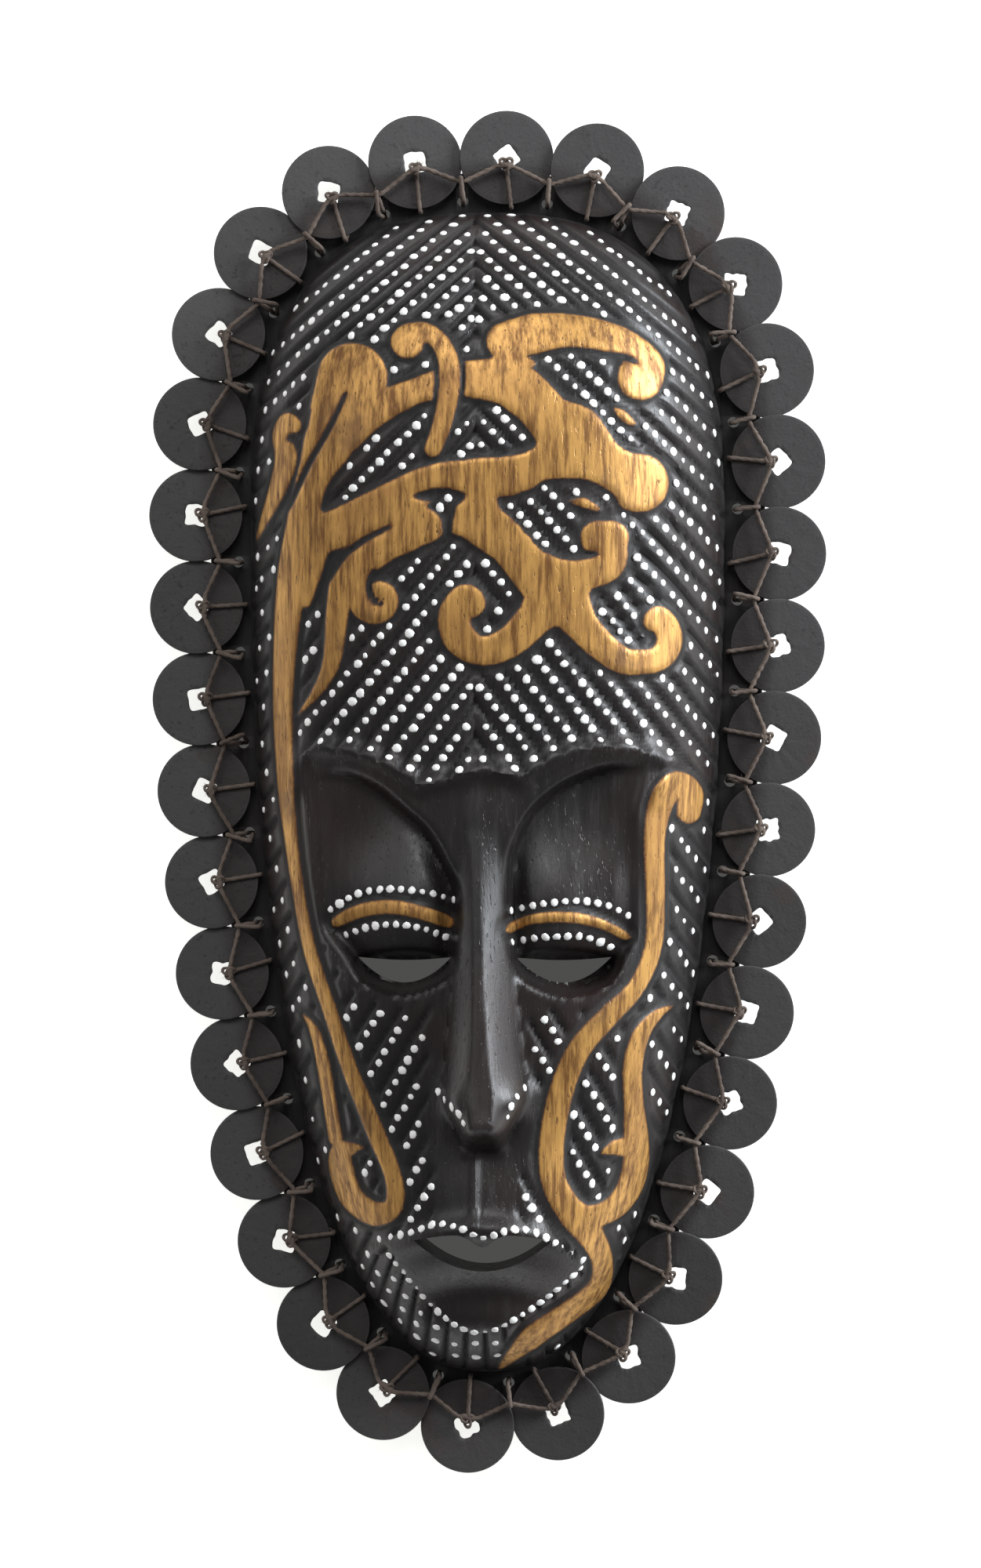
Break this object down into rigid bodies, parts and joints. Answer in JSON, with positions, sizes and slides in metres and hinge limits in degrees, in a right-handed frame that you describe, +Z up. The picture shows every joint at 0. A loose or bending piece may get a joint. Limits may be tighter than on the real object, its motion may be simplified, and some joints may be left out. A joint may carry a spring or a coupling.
{
  "type": "wall mask",
  "caption": "Tall carved wooden face mask with slit eyes and mouth, hollow back, and a fringe of square-holed coins stitched round its rim with twine.",
  "frame": {"origin": "centre of the mouth of the blind hanging hole in the back of the crown, in the plane of the wall", "axes": "+Z up towards the crown, -Y the way the face looks, +Y out of the back into the wall, +X to the viewer's right"},
  "size_m": [0.173, 0.0589, 0.3478],
  "materials": {
    "carved_wood": "dark lacquered carved wood with gilded scrolls and white painted dots",
    "coin_metal": "dull grey cast metal, rubbed along the edges",
    "twine": "two-ply hairy brown twine"
  },
  "bodies": {
    "root": {"mask_body": "carved_wood", "coin_01": "coin_metal", "coin_02": "coin_metal", "coin_03": "coin_metal", "coin_04": "coin_metal", "coin_05": "coin_metal", "coin_06": "coin_metal", "coin_07": "coin_metal", "coin_08": "coin_metal", "coin_09": "coin_metal", "coin_10": "coin_metal", "coin_11": "coin_metal", "coin_12": "coin_metal", "coin_13": "coin_metal", "coin_14": "coin_metal", "coin_15": "coin_metal", "coin_16": "coin_metal", "coin_17": "coin_metal", "coin_18": "coin_metal", "coin_19": "coin_metal", "coin_20": "coin_metal", "coin_21": "coin_metal", "coin_22": "coin_metal", "coin_23": "coin_metal", "coin_24": "coin_metal", "coin_25": "coin_metal", "coin_26": "coin_metal", "coin_27": "coin_metal", "coin_28": "coin_metal", "coin_29": "coin_metal", "coin_30": "coin_metal", "coin_31": "coin_metal", "coin_32": "coin_metal", "coin_33": "coin_metal", "coin_34": "coin_metal", "coin_stitches": "twine", "junction_stitches": "twine", "running_twine": "twine"}
  },
  "joints": []
}
